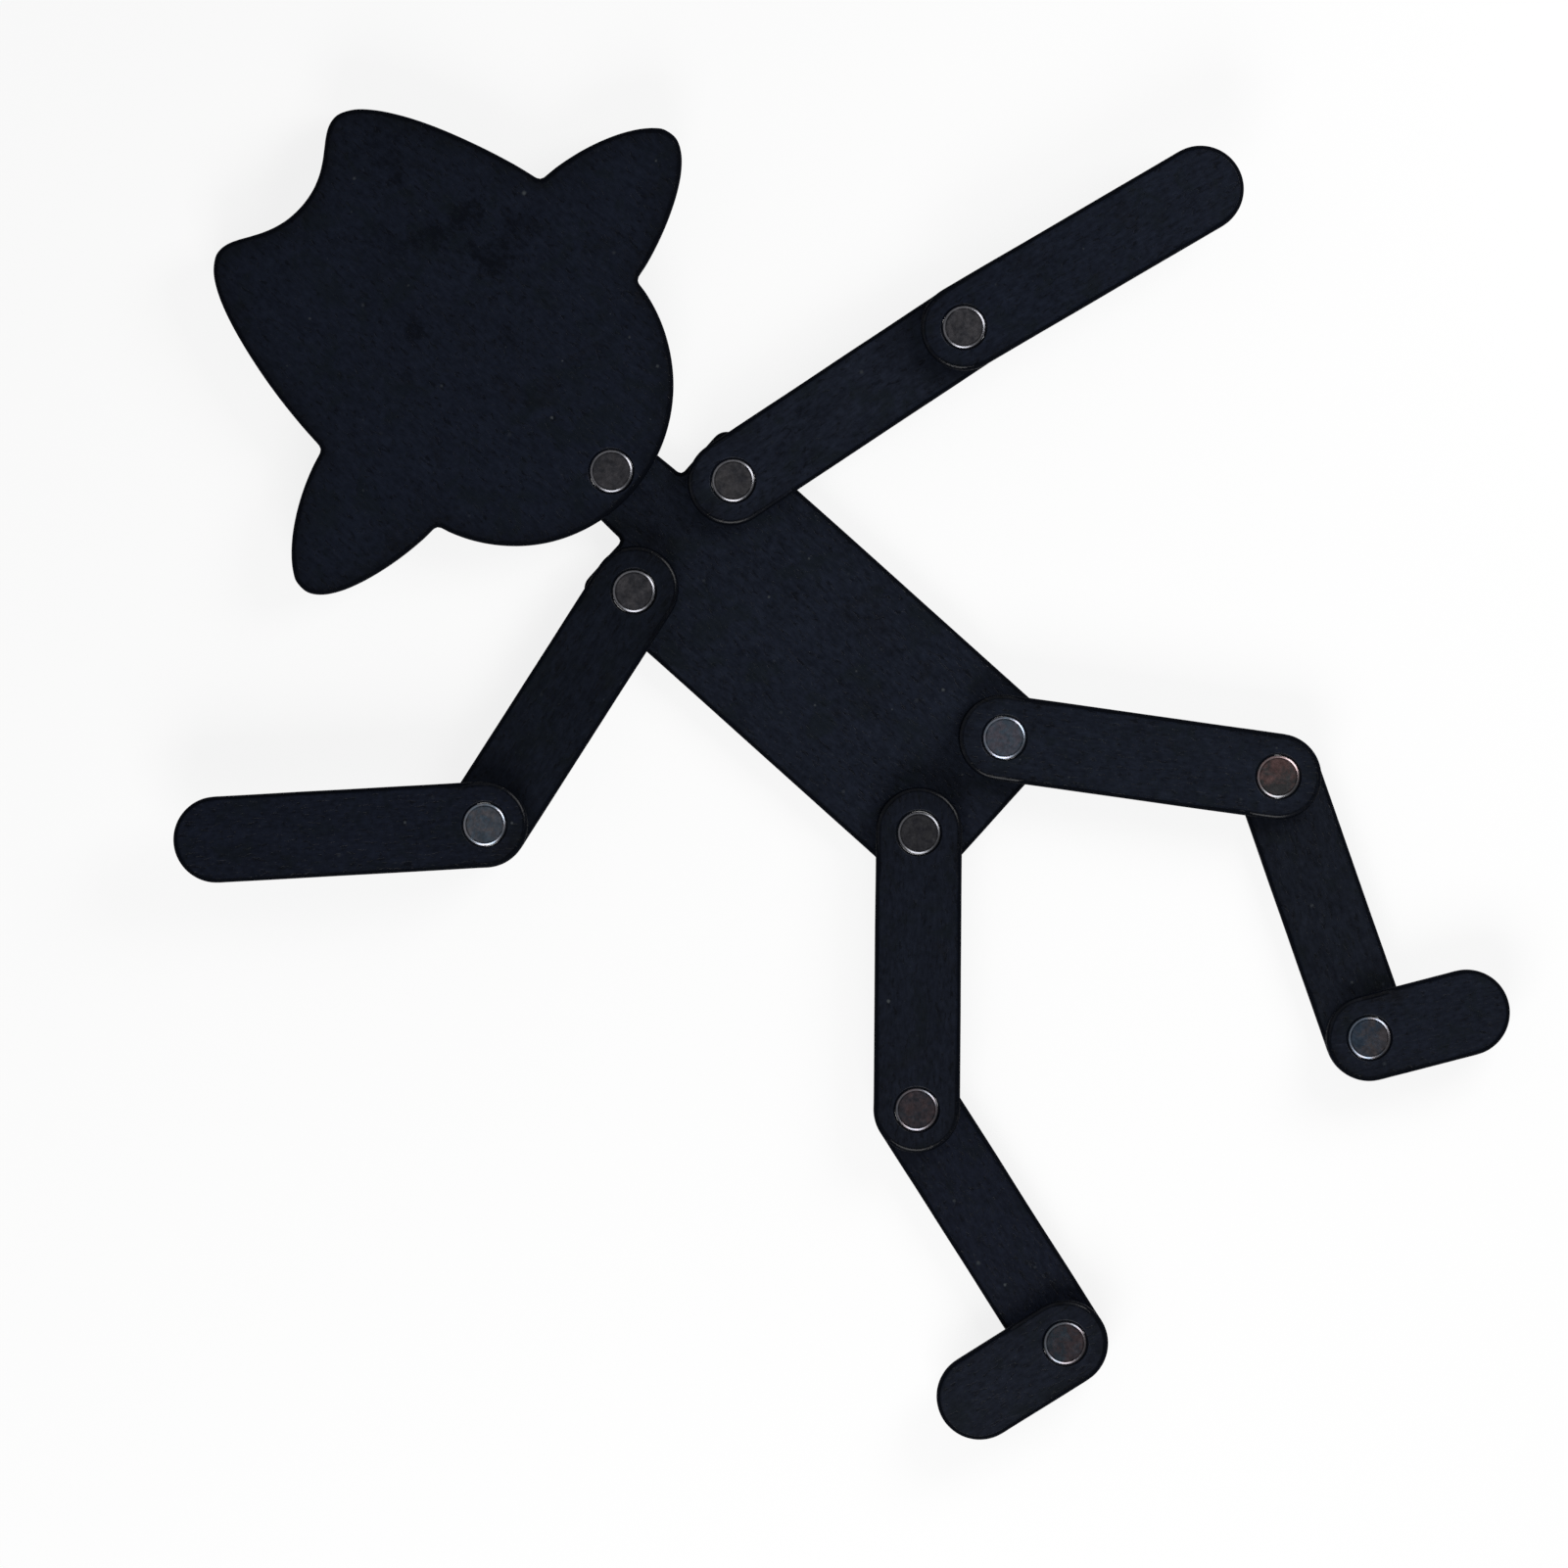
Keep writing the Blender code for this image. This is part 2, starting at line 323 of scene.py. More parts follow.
boardGrain = buildBoardGrain()
stainPatches = buildStainPatches()
softMark = buildSoftMark()
dustSpecks = buildDustSpecks()
handWear = buildHandWear()
print("effects:", ", ".join(group.name for group in bpy.data.node_groups))


# Boards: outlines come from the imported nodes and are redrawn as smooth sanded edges

boardLook = {
    "postLeast": 1.0 * mm,              # shortest upright edge of a sawn side
    "sideTilt": 0.1,                    # a sawn side's normal rises less than this
    "longRun": 5.0 * mm,                # straight runs over this get points of their own
    "runStep": 1.2 * mm,
    "outlineStep": 0.4 * mm,
    "cornerTurn": radians(40),
    "mitreLeast": 0.6,                  # keeps mitres at sharp corners short
    "edgeRound": 0.65 * mm,             # sanded edge
    "edgeVary": 0.18,                   # share by which the sanding varies
    "varyPace": 2.3,                    # how much faster it varies than the saw wanders
    "edgeStop": radians(84),            # where the round meets the sawn side
    "edgeSteps": 8,
    "satinStop": radians(10),           # how far down the round the satin of the face goes
    "polishStop": radians(37),          # the same where the board turns over its neighbour
    "polishReach": 8.8 * mm,            # as far from the joint as that happens
    "polishMargin": 0.5 * mm,           # and this far inside the neighbour's outline
    "polishTaper": 9.0,                 # how much sooner it ends for each millimetre down the round
    "faceStep": 1.6 * mm,               # points inside a face
    "faceMargin": 0.7 * mm,             # how far they stay from its edge
    "faceKind": 1,                      # Delaunay output: triangles inside the outline only
    "faceMerge": 1e-4,                  # points closer than this are one, in millimetres
    "soakReach": (7.0 * mm, 9.5 * mm),  # distance from the joint over which the painted shade by the joint gives way to the edge stain elsewhere
    "roundSoak": (2.4, 0.62),           # how much darker the round is, stain with painted shade, and the most it is
    "sideBand": 0.03 * mm,              # narrow ring on the side below the round
    "wander": 0.035 * mm,               # how far the saw left its line
    "wanderLength": 9.0 * mm,
    "flatBand": 0.12 * mm,              # narrow flat ring beside each round, which keeps the shading clean
    "boreSteps": 64,
    "boreSnug": 0.22 * mm,              # how far the glued bore closes in below its mouth
    "boreMouth": 0.30 * mm,             # depth of the mouth
    "boreClose": ((0.1, 0.5), (0.4, 0.9), (1.0, 1.0)),  # in steps, as shares of these two
    "boreArris": 0.02 * mm,             # the drill left its edge almost sharp
    "boreWander": 0.05 * mm,
    "seedStep": 7.0,                    # between the random numbers of two boards
}
limbSoakAndShade = (0.26, 0.06, 1.0 * mm)  # how much darker a face is at its edge: by the joint stain plus painted shade, where the board lies on its neighbour, elsewhere stain alone; and how far in the darkening reaches
boardSoakAndShade = {                      # and how far in the stain soaked
    "head": (0.40, 0.40, 1.7 * mm),
    "torso": (0.15, 0.15, 1.7 * mm),
}


def readLoops(node):  # the sawn outline and the bores of a board, from its upright edges
    solid = bmesh.new()
    solid.from_mesh(frame["nodes"][node].data)
    bmesh.ops.remove_doubles(solid, verts=solid.verts, dist=weld)
    solid.edges.index_update()
    posts = {}
    for edge in solid.edges:
        low, high = edge.verts
        upright = (low.co.xy - high.co.xy).length < weld
        if upright and abs(low.co.z - high.co.z) > boardLook["postLeast"]:
            posts[low] = posts[high] = edge.index
    places = {posts[corner]: corner.co.xy.copy() for corner in posts}
    beside = {}
    for face in solid.faces:
        pair = sorted({posts[corner] for corner in face.verts if corner in posts})
        if abs(face.normal.z) < boardLook["sideTilt"] and len(pair) == 2:
            beside.setdefault(pair[0], []).append(pair[1])
            beside.setdefault(pair[1], []).append(pair[0])
    solid.free()
    loops = []
    waiting = sorted(beside)
    while waiting:
        walk = [waiting[0]]
        while True:
            onward = [post for post in beside[walk[-1]] if post in waiting and post not in walk]
            if not onward:
                break
            walk.append(onward[0])
        waiting = [post for post in waiting if post not in walk]
        loops.append([places[post] for post in walk])
    loops.sort(key=lambda loop: -sum((a - b).length for a, b in zip(loop, loop[1:])))
    outline = loops[0]
    area = sum(a.cross(b) for a, b in zip(outline, outline[1:] + outline[:1]))
    return (outline if area > 0 else outline[::-1]), loops[1:]


def catmull(before, start, stop, after, share):
    slopeIn = (stop - before) / 2
    slopeOut = (after - start) / 2
    cube = share ** 3
    square = share ** 2
    ends = start * (2 * cube - 3 * square + 1) + stop * (3 * square - 2 * cube)
    return ends + slopeIn * (cube - 2 * square + share) + slopeOut * (cube - square)


def smoothOutline(points):
    dense = []
    for start, stop in zip(points, points[1:] + points[:1]):
        run = (stop - start).length
        parts = round(run / boardLook["runStep"]) if run > boardLook["longRun"] else 1
        dense += [start.lerp(stop, part / parts) for part in range(parts)]
    count = len(dense)
    ways = [(dense[(k + 1) % count] - dense[k]).normalized() for k in range(count)]
    sharp = [ways[k - 1].angle(ways[k]) > boardLook["cornerTurn"] for k in range(count)]
    fine = []
    for k in range(count):
        before, start, stop, after = (dense[(k + step) % count] for step in (-1, 0, 1, 2))
        if sharp[k]:
            before = start * 2 - stop
        if sharp[(k + 1) % count]:
            after = stop * 2 - start
        parts = max(1, round((stop - start).length / boardLook["outlineStep"]))
        fine += [catmull(before, start, stop, after, part / parts) for part in range(parts)]
    return fine


def outwardWays(points):  # mitred directions out of the board, one for each outline point
    count = len(points)
    ways = []
    for k in range(count):
        into = (points[k] - points[k - 1]).normalized()
        onward = (points[(k + 1) % count] - points[k]).normalized()
        side = Vector((into.y + onward.y, -into.x - onward.x)).normalized()
        ways.append(side / max(boardLook["mitreLeast"], side.dot(Vector((onward.y, -onward.x)))))
    return ways


def newBoardMesh():
    mesh = bmesh.new()
    mesh.verts.layers.float.new("edgeZone")  # 1 on a sanded edge and -1 in a bore
    mesh.verts.layers.float.new("edgeSoak")  # share by which the face is darker: stain soaked in at the edge, and painted shade by the joints and on the rounds
    return mesh


def addRing(mesh, places, heights, zone=None, soaksAndShade=None):
    ring = [mesh.verts.new((place[0], place[1], height)) for place, height in zip(places, heights)]
    if zone is not None:
        for corner in ring:
            corner[mesh.verts.layers.float["edgeZone"]] = zone
    if soaksAndShade is not None:
        for corner, soak in zip(ring, soaksAndShade):
            corner[mesh.verts.layers.float["edgeSoak"]] = soak
    return ring


def bridge(mesh, rings, finish=0):
    faces = []
    for lower, upper in zip(rings, rings[1:]):
        for k in range(len(lower)):
            faces.append(mesh.faces.new((lower[k - 1], lower[k], upper[k], upper[k - 1])))
            faces[-1].material_index = finish
    return faces


def newPiece(name, mesh):
    bmesh.ops.recalc_face_normals(mesh, faces=mesh.faces)
    data = bpy.data.meshes.new(name)
    mesh.to_mesh(data)
    mesh.free()
    data.shade_smooth()
    piece = bpy.data.objects.new(name, data)
    bpy.context.scene.collection.objects.link(piece)
    return piece


def nearest(points, others):  # distance from each point to the nearest of the others
    return np.sqrt(((points[:, None, :] - others[None, :, :]) ** 2).sum(axis=2)).min(axis=1)


def isInside(points, loop):  # crossings of a ray to the right, counted on all sides of the loop
    after = np.roll(loop, -1, axis=0)
    x, y = points[:, 0:1], points[:, 1:2]
    crosses = (loop[:, 1] > y) != (after[:, 1] > y)
    slope = (after[:, 0] - loop[:, 0]) / np.where(after[:, 1] == loop[:, 1], 1.0, after[:, 1] - loop[:, 1])
    return (crosses & (x < loop[:, 0] + (y - loop[:, 1]) * slope)).sum(axis=1) % 2 == 1


# darkening at a board's edge: stain soaked in, with painted shade near the joints where a limb lies on its
# neighbour
def soakAndShadeAt(places, depths, turns, shares):
    byJoint, elsewhere, deep = shares
    fade = 0.0
    if turns:
        start, stop = boardLook["soakReach"]
        away = nearest(np.array(places), np.array([joint for joint, under in turns]))
        fade = np.clip((stop - away) / (stop - start), 0.0, 1.0)
    return (elsewhere + (byJoint - elsewhere) * fade) * np.exp(-depths / deep) * np.ones(len(places))


def rubsOver(places, drops, turns):  # where an edge turns over the neighbour below it
    rubbed = np.zeros(len(places), bool)
    taper = drops * boardLook["polishTaper"]
    for joint, under in turns:
        away = nearest(places, joint[None, :])
        beyond = joint + (places - joint) * (1 + (boardLook["polishMargin"] + taper) / away)[:, None]
        rubbed |= (away < boardLook["polishReach"] - taper) & isInside(beyond, under)
    return rubbed


def fillFace(mesh, rim, bores, height, turns, shares):
    look = boardLook
    loops = [rim] + bores
    drawn = [np.array([corner.co.xy for corner in loop]) for loop in loops]
    low, high = drawn[0].min(axis=0), drawn[0].max(axis=0)
    rows = np.arange(low[1], high[1], look["faceStep"] * sqrt(3) / 2)
    columns = np.arange(low[0], high[0], look["faceStep"])
    spots = np.array([(x + look["faceStep"] / 2 * (k % 2), y) for k, y in enumerate(rows) for x in columns])
    keep = isInside(spots, drawn[0]) & (nearest(spots, np.vstack(drawn)) > look["faceMargin"])
    for bore in drawn[1:]:
        keep &= ~isInside(spots, bore)
    spots = spots[keep]
    soaksAndShade = soakAndShadeAt(spots, nearest(spots, drawn[0]), turns, shares)
    corners = [corner for loop in loops for corner in loop]
    corners += addRing(mesh, spots, [height] * len(spots), 0.0, soaksAndShade)
    sides = []
    for loop in loops:
        first = len(sides)
        sides += [(first + k, first + (k + 1) % len(loop)) for k in range(len(loop))]
    places = [corner.co.xy / mm for corner in corners]
    filled = geometry.delaunay_2d_cdt(places, sides, [], look["faceKind"], look["faceMerge"])
    found, _, triangles, sources, _, _ = filled
    middles = np.array([sum((found[k] for k in triangle), Vector((0, 0))) / 3 for triangle in triangles]) * mm
    solid = np.ones(len(triangles), bool)
    for bore in drawn[1:]:
        solid &= ~isInside(middles, bore)
    for triangle, wanted in zip(triangles, solid):
        if wanted:
            mesh.faces.new([corners[sources[k][0]] for k in triangle])


def sandedWall(mesh, points, thick, seed, turns, shares):
    look = boardLook
    ways = outwardWays(points)
    rounds = []
    drawn = []
    for point, way in zip(points, ways):
        spot = Vector((point.x, point.y, seed)) / look["wanderLength"]
        drawn.append(point + way * (noise.noise(spot) * look["wander"]))
        rounds.append(look["edgeRound"] * (1 + look["edgeVary"] * noise.noise(spot * look["varyPace"])))
    steps = range(look["edgeSteps"] + 1)
    upper = []  # rings from the face down to the side: places, drops and zone
    inner = [p - w * (r * sin(look["edgeStop"]) + look["flatBand"]) for p, w, r in zip(drawn, ways, rounds)]
    upper.append((inner, [0.0] * len(inner), 0.0))
    for turn in [look["edgeStop"] * step / look["edgeSteps"] for step in steps]:
        inset = sin(look["edgeStop"]) - sin(turn)
        places = [p - w * (r * inset) for p, w, r in zip(drawn, ways, rounds)]
        upper.append((places, [r * (1 - cos(turn)) for r in rounds], 1.0))
    upper.append((drawn, [drop + look["sideBand"] for drop in upper[-1][1]], 0.0))
    rings = []
    for end, side in ((-1, upper), (1, upper[::-1])):
        for places, drops, zone in side:
            heights = [end * (thick / 2 - drop) for drop in drops]
            soaksAndShade = soakAndShadeAt(places, 0.0, turns, shares)
            # rounds are darker still: partly stain, partly painted shade on the edge
            if zone:
                soaksAndShade = np.minimum(soaksAndShade * look["roundSoak"][0], look["roundSoak"][1])
            rings.append(addRing(mesh, places, heights, zone, soaksAndShade))
    stops = [look[key] / look["edgeStop"] for key in ("satinStop", "polishStop")]
    satin, polish = (1 + round(look["edgeSteps"] * stop) for stop in stops)
    bridge(mesh, rings[:satin + 1])
    bridge(mesh, rings[-satin - 1:])
    bridge(mesh, rings[polish:-polish], 1)
    for band in (rings[satin:polish + 1], rings[-polish - 1:-satin]):
        faces = bridge(mesh, band)
        middles = np.array([face.calc_center_median() for face in faces])
        rubbed = rubsOver(middles[:, :2], thick / 2 - np.abs(middles[:, 2]), turns)
        for face, shines in zip(faces, rubbed):
            face.material_index = int(not shines)
    return rings[0], rings[-1]


def boreWall(mesh, centre, radius, thick, seed):
    look = boardLook
    angles = [2 * pi * k / look["boreSteps"] for k in range(look["boreSteps"])]
    rays = [Vector((cos(angle), sin(angle))) for angle in angles]
    reach = [radius + look["boreWander"] * noise.noise(Vector((ray.x, ray.y, seed))) for ray in rays]
    snug = look["boreSnug"]
    arris = look["boreArris"]
    steps = [(look["flatBand"], 0.0, 0.0), (arris, 0.0, 0.0), (0.0, arris, -1.0)]
    steps += [(-snug * shut, look["boreMouth"] * deep, -1.0) for shut, deep in look["boreClose"]]
    rings = []
    for end in (1, -1):
        for out, drop, zone in (steps if end > 0 else reversed(steps)):
            lengths = [radius] * len(rays) if out == -snug else reach
            places = [centre + ray * (length + out) for ray, length in zip(rays, lengths)]
            rings.append(addRing(mesh, places, [end * (thick / 2 - drop)] * len(places), zone))
    bridge(mesh, rings)
    return rings[-1], rings[0]


def shapeBoard(node, seed):
    low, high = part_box(node)
    thick = high.z - low.z
    outline, bores = readLoops(node)
    heart = sum(outline, Vector((0, 0))) / len(outline)
    pivot = jointPlace.get(bodyOf[node], Vector((0, 0)))
    way = (heart - pivot).normalized() if bodyOf[node] in jointPlace else Vector((0, 1))
    place = Matrix.Translation((pivot.x, pivot.y, (low.z + high.z) / 2))
    place = place @ Matrix.Rotation(way.angle_signed(Vector((1, 0))), 4, "Z")
    inward = place.inverted()

    def onBoard(point):  # a place on the figure, as a place on the board
        return (inward @ point.to_3d()).xy

    shares = boardSoakAndShade.get(node, limbSoakAndShade)
    neighbours = [] if node in boardSoakAndShade else turnsOver.get(node, [])
    turns = []
    for joint, under in neighbours:
        below = [onBoard(point) for point in readLoops(under)[0]]
        turns.append((np.array((inward @ joint).xy), np.array(below)))
    mesh = newBoardMesh()
    local = [onBoard(point) for point in outline]
    bottom, top = sandedWall(mesh, smoothOutline(local), thick, seed, turns, shares)
    mouths = []
    for number, bore in enumerate(bores):
        centre = sum(bore, Vector((0, 0))) / len(bore)
        radius = sum((point - centre).length for point in bore) / len(bore)
        mouths.append(boreWall(mesh, onBoard(centre), radius, thick, seed + number))
    fillFace(mesh, bottom, [under for under, over in mouths], -thick / 2, turns, shares)
    fillFace(mesh, top, [over for under, over in mouths], thick / 2, turns, shares)
    piece = newPiece(node + "_board", mesh)
    piece.matrix_world = place
    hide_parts(node)
    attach(piece, bodyOf[node])
    return piece


# Stained wood: blue-black stain over fine grain, each board with its own part of the pattern

woodLook = {
    "deep": (0.0027, 0.0042, 0.0091, 1.0),   # stain that pooled
    "open": (0.0148, 0.0200, 0.0366, 1.0),   # stain over dense wood
    "green": (0.0056, 0.0092, 0.0125, 1.0),  # where the stain dried thin over a resin streak
    "dust": (0.075, 0.085, 0.095, 1.0),
    "rubbed": (0.020, 0.022, 0.028, 1.0),
    "shift": (61.0, 23.0, 17.0),             # mm from one board's part of the pattern to the next one's
    "stretch": 3.2,                          # how drawn out the grain is
    "patches": {"Size": 9.0, "Cover": 0.55},
    "specks": {"Spacing": 7.0, "Size": 0.38},
    "cloud": (1.05, 4.0, 0.66),              # noise of the stain's clouds
    "cloudDepth": 1.3,                       # and how strong they, bands, patches, pores and marks are
    "bandDepth": 0.5,
    "patchDepth": -0.30,
    "poreDepth": -0.40,
    "markDepth": -0.62,
    "markLevel": 2.0,                        # mm from the middle of the board to its face
    "resin": (0.22, 3.0, 0.6, 0.6),
    "resinEdge": (0.50, 0.68),
    "resinShare": 0.55,
    "wearShare": 0.5,
    "dullFibres": 0.6,                       # what makes the satin duller
    "dullPatches": 0.25,
    "dullEdge": (0.1, 0.7),
    "rough": (0.33, 0.43),
    "polishedEdge": 0.24,                    # roughness of an edge that turns over its neighbour
    "specular": 0.24,
    "relief": 0.018 * mm,
    "poreRelief": -0.7,                      # shares of it
    "speckRelief": 0.8,
}
boardCalm = {"head": 0.80}                   # boards on which the stain clouds less
boardTone = {                                # boards that took the stain differently
    "torso": (1.21, 1.21, 1.20),
    "head": (1.04, 1.08, 1.15),
    "left_upper_arm": (1.33, 1.30, 1.26),
    "right_upper_arm": (0.68, 0.73, 0.76),
    "left_forearm": (0.99, 1.04, 1.10),
    "right_forearm": (0.87, 0.90, 0.99),
    "left_thigh": (1.09, 1.11, 1.10),
    "right_thigh": (0.90, 0.90, 0.91),
    "left_shin": (0.96, 0.945, 0.90),
    "right_shin": (0.81, 0.83, 0.93),
}
stainAndShadeMarks = {  # pooled stain, and on the torso painted shade between the chin and the shoulders: along, across, radius in mm, and how dark
    # painted shade where the head and the upper arms close in around the neck
    "torso": ((34.0, 0.0, 4.5, 0.25),),
    "head": (
        (38.9, -13.9, 2.6, 1.0), (39.5, -12.4, 2.2, 0.9), (39.2, -9.8, 2.0, 0.8), (40.2, -8.3, 2.6, 1.0),
        (41.4, -6.5, 2.2, 0.8), (34.7, -10.3, 2.0, 0.8), (32.7, -10.8, 2.4, 1.0), (31.2, -11.2, 2.6, 1.0),
        (31.8, -14.0, 2.2, 0.7), (32.1, -16.7, 2.8, 0.7), (31.2, -18.8, 2.4, 0.6), (49.1, -10.8, 1.5, 0.9),
        (46.2, -3.5, 2.4, 0.5), (43.0, -3.8, 2.6, 0.5), (33.4, 3.3, 2.2, 0.8), (23.3, -4.5, 1.8, 0.7),
        (14.8, -0.3, 1.8, 0.8), (29.7, 9.0, 1.5, 0.6), (54.0, -13.0, 6.0, 0.4),
    ),
}


def stainedWood(node, number):
    look = woodLook
    material, tree, shader, position = newFinish("stainedWood_" + node)
    shift = tuple(step * number for step in look["shift"])
    placed = calcVector(tree, "ADD", position, shift)
    grain = useGroup(tree, boardGrain, Position=position, Shift=shift, Stretch=look["stretch"])
    patches = useGroup(tree, stainPatches, Position=position, Shift=shift, **look["patches"])["Mask"]
    specks = useGroup(tree, dustSpecks, Position=position, Shift=shift, **look["specks"])["Mask"]
    zone = addNode(tree, "ShaderNodeAttribute", attribute_name="edgeZone").outputs["Fac"]
    edge = calc(tree, "MAXIMUM", zone, 0.0)
    bore = calc(tree, "MAXIMUM", calc(tree, "MULTIPLY", zone, -1.0), 0.0)
    wear = useGroup(tree, handWear, Position=position, Shift=shift, Edge=edge)["Mask"]
    soak = addNode(tree, "ShaderNodeAttribute", attribute_name="edgeSoak").outputs["Fac"]
    marks = 0.0
    for along, across, radius, depth in stainAndShadeMarks.get(node, ()):
        centre = (along, across, look["markLevel"])
        mark = useGroup(tree, softMark, Position=position, Centre=centre, Radius=radius)
        marks = calc(tree, "MAXIMUM", marks, calc(tree, "MULTIPLY", mark["Mask"], depth))

    calm = boardCalm.get(node, 1.0)
    level = 0.5 - 0.5 * (1 + look["bandDepth"]) * calm  # keeps the mean, as noise is 0.5 on average
    cloud = calc(tree, "SUBTRACT", mottle(tree, placed, *look["cloud"]), 0.5)
    clouds = calc(tree, "MULTIPLY", cloud, look["cloudDepth"] * calm)
    tone = calc(tree, "MULTIPLY_ADD", grain["Bands"], look["bandDepth"] * calm, clouds)
    tone = calc(tree, "MULTIPLY_ADD", grain["Fibres"], calm, tone)
    tone = calc(tree, "ADD", tone, level)
    tone = calc(tree, "MULTIPLY_ADD", patches, look["patchDepth"], tone)
    tone = calc(tree, "MULTIPLY_ADD", grain["Pores"], look["poreDepth"], tone)
    tone = calc(tree, "MULTIPLY_ADD", marks, look["markDepth"], tone)
    # the bore's mouth and wall go to the darkest stain colour
    tone = calc(tree, "SUBTRACT", tone, bore, clamp=True)
    colour = mixColour(tree, tone, look["deep"], look["open"])
    resin = remap(tree, mottle(tree, placed, *look["resin"]), *look["resinEdge"])
    colour = mixColour(tree, calc(tree, "MULTIPLY", resin, look["resinShare"]), colour, look["green"])
    lift = boardTone.get(node, (1.0, 1.0, 1.0))
    colour = mixColour(tree, 1.0, colour, (*lift, 1.0), "MULTIPLY")
    # darker towards the edges: soaked stain, and painted shade by the joints and on the rounds
    colour = mixColour(tree, soak, colour, (0.0, 0.0, 0.0, 1.0))
    colour = mixColour(tree, calc(tree, "MULTIPLY", wear, look["wearShare"]), colour, look["rubbed"])
    colour = mixColour(tree, specks, colour, look["dust"])
    feed(tree, shader.inputs["Base Color"], colour)

    dull = calc(tree, "MULTIPLY", patches, look["dullPatches"])
    dull = calc(tree, "MULTIPLY_ADD", grain["Fibres"], look["dullFibres"], dull)
    rough = remap(tree, dull, *look["dullEdge"], *look["rough"])
    ease = calc(tree, "MULTIPLY", edge, calc(tree, "SUBTRACT", look["polishedEdge"], rough))
    feed(tree, shader.inputs["Roughness"], calc(tree, "ADD", rough, ease))
    shader.inputs["Specular IOR Level"].default_value = look["specular"]
    height = calc(tree, "MULTIPLY_ADD", grain["Pores"], look["poreRelief"], grain["Fibres"])
    height = calc(tree, "MULTIPLY_ADD", specks, look["speckRelief"], height)
    addRelief(tree, shader, height, look["relief"])
    return material


# Sawn sides: duller and darker, because end grain took more stain, with the lines of the saw

sideLook = {
    "round": (0.0030, 0.0040, 0.0070, 1.0),  # between the face and the side
    "open": (0.0130, 0.0160, 0.0260, 1.0),   # the side below it, where the saw left lighter lines
    "middle": (1.30, 1.05),                  # mm from the middle of the board, where they meet
    "patches": {"Size": 4.0, "Cover": 0.6},
    "roundTone": (-0.5, 1.6),                # what patches and fibres add to the round
    "sideTone": (-0.35, 0.7, 0.35),          # what patches and saw lines add to the side, and its base
    "sawPace": (5.0, 5.0, 0.25),             # lines run down the side, so they change faster along it
    "saw": (1.0, 3.0, 0.6),
    "sawEdge": (0.30, 0.70),
    "rough": (0.55, 0.85),
    "specular": 0.04,
}


def sawnSide(node, number):
    look = sideLook
    material, tree, shader, position = newFinish("sawnSide_" + node)
    shift = tuple(step * number for step in woodLook["shift"])
    grain = useGroup(tree, boardGrain, Position=position, Shift=shift, Stretch=woodLook["stretch"])
    soak = useGroup(tree, stainPatches, Position=position, Shift=shift, **look["patches"])["Mask"]
    fibres = calc(tree, "MULTIPLY", grain["Fibres"], look["roundTone"][1])
    tone = calc(tree, "MULTIPLY_ADD", soak, look["roundTone"][0], fibres, clamp=True)
    colour = mixColour(tree, tone, woodLook["deep"], look["round"])
    lines = mottle(tree, calcVector(tree, "MULTIPLY", position, look["sawPace"]), *look["saw"])
    lines = remap(tree, lines, *look["sawEdge"], smooth=False)
    level = calc(tree, "ABSOLUTE", splitVector(tree, position)["Z"])
    middle = remap(tree, level, *look["middle"])
    sawn = calc(tree, "MULTIPLY_ADD", lines, *look["sideTone"][1:])
    sawn = calc(tree, "MULTIPLY_ADD", soak, look["sideTone"][0], sawn, clamp=True)
    sawn = mixColour(tree, sawn, woodLook["deep"], look["open"])
    feed(tree, shader.inputs["Base Color"], mixColour(tree, middle, colour, sawn))
    feed(tree, shader.inputs["Roughness"], remap(tree, lines, 0.0, 1.0, *look["rough"]))
    shader.inputs["Specular IOR Level"].default_value = look["specular"]
    height = calc(tree, "MULTIPLY_ADD", lines, middle, grain["Fibres"])
    addRelief(tree, shader, height, woodLook["relief"])
    return material


for number, node in enumerate(boards):
    piece = shapeBoard(node, number * boardLook["seedStep"])
    piece.data.materials.append(stainedWood(node, number))
    piece.data.materials.append(sawnSide(node, number))
print("boards:", len(boards))


# Disc magnets: turned discs with a worn bevel, one in each board at each joint

discLook = {
    "sides": 72,
    "innerRing": 0.5,        # a ring inside the face, as a share of its radius
    "rimWide": 0.36 * mm,    # worn bevel between the face and the side
    "bevelTurns": (15.0, 20.0, 24.0, 28.0, 33.0),  # its slope in degrees, from the face outward
    "bevelEase": 0.04 * mm,
    "sideRound": 0.06 * mm,
    "tilt": radians(0.7),    # hand-glued discs sit a little askew
    "tiltPace": (3.7, 5.3),  # between the random numbers of two discs and of the two ways to tilt
    "tiltStart": (0.4, 0.5),
    "spin": 1.9,             # radians from one disc to the next
}


